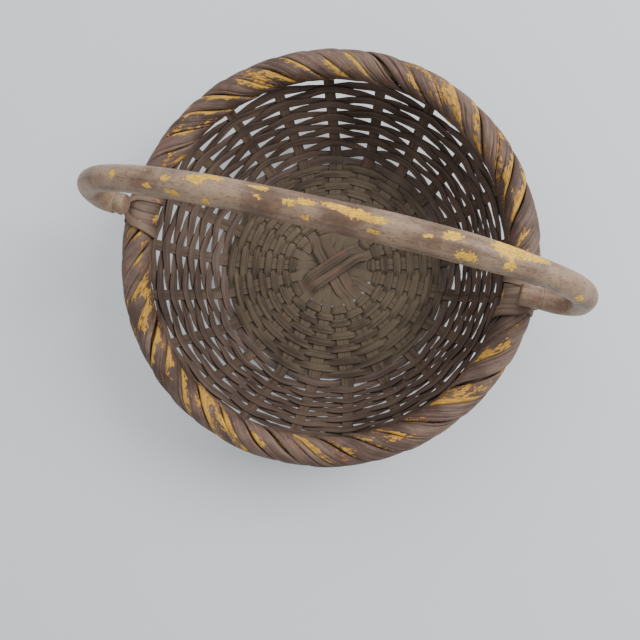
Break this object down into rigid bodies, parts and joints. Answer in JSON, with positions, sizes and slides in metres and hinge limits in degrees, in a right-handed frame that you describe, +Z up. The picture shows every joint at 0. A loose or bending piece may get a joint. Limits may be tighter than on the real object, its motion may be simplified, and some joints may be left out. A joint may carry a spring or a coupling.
{
  "type": "bread basket",
  "caption": "Shallow round open-weave splint basket with a thick roped border and a bent round-stick swing handle held by two ear straps.",
  "frame": {"origin": "on the resting plane under the middle of the base", "axes": "+Z up out of the basket's mouth, +X along the handle's pivot axis, +Y the side that the handle leans to at rest"},
  "size_m": [0.3459, 0.2998, 0.1805],
  "materials": {
    "bare_splint": "worn bare splint, matt, with traces of brown paint",
    "base_weave": "thin worn mauve-brown paint over splint, matt",
    "wall_weave": "mauve-brown paint over splint, low sheen",
    "painted_border": "mauve-brown paint worn through to ochre undercoat along the raised strands",
    "hoop_wood": "bare wood, hidden inside the border",
    "painted_handle": "mauve-brown paint, satin where handled, chipped to ochre undercoat",
    "painted_strap": "mauve-brown paint over splint, low sheen"
  },
  "bodies": {
    "basket": {"splint_01": "bare_splint", "splint_02": "bare_splint", "splint_03": "bare_splint", "splint_04": "bare_splint", "splint_05": "bare_splint", "splint_06": "bare_splint", "splint_07": "bare_splint", "splint_08": "bare_splint", "splint_09": "bare_splint", "splint_10": "bare_splint", "half_splint": "bare_splint", "base_weaver_01": "base_weave", "base_weaver_02": "base_weave", "wall_weaver_01": "wall_weave", "wall_weaver_02": "wall_weave", "wall_weaver_03": "wall_weave", "wall_weaver_04": "wall_weave", "wall_weaver_05": "wall_weave", "wall_weaver_06": "wall_weave", "border_hoop": "hoop_wood", "border_strand_01": "painted_border", "border_strand_02": "painted_border", "border_strand_03": "painted_border", "border_strand_04": "painted_border", "border_strand_05": "painted_border", "border_strand_06": "painted_border", "border_strand_07": "painted_border", "border_strand_08": "painted_border", "border_strand_09": "painted_border", "border_strand_10": "painted_border", "border_strand_11": "painted_border", "border_strand_12": "painted_border", "border_strand_13": "painted_border", "border_strand_14": "painted_border", "border_strand_15": "painted_border", "border_strand_16": "painted_border", "border_strand_17": "painted_border", "border_strand_18": "painted_border", "border_strand_19": "painted_border", "border_strand_20": "painted_border", "border_strand_21": "painted_border", "ear_strap_right": "painted_strap", "ear_strap_left": "painted_strap", "ear_lashing_right": "painted_strap", "ear_lashing_left": "painted_strap"},
    "handle": {"handle": "painted_handle"}
  },
  "joints": [
    {"name": "handle_swing", "type": "hinge", "parent": "basket", "child": "handle", "pos_m": [0, 0, 0.0894], "axis": [1, 0, 0], "range_deg": [-81, 90]}
  ]
}
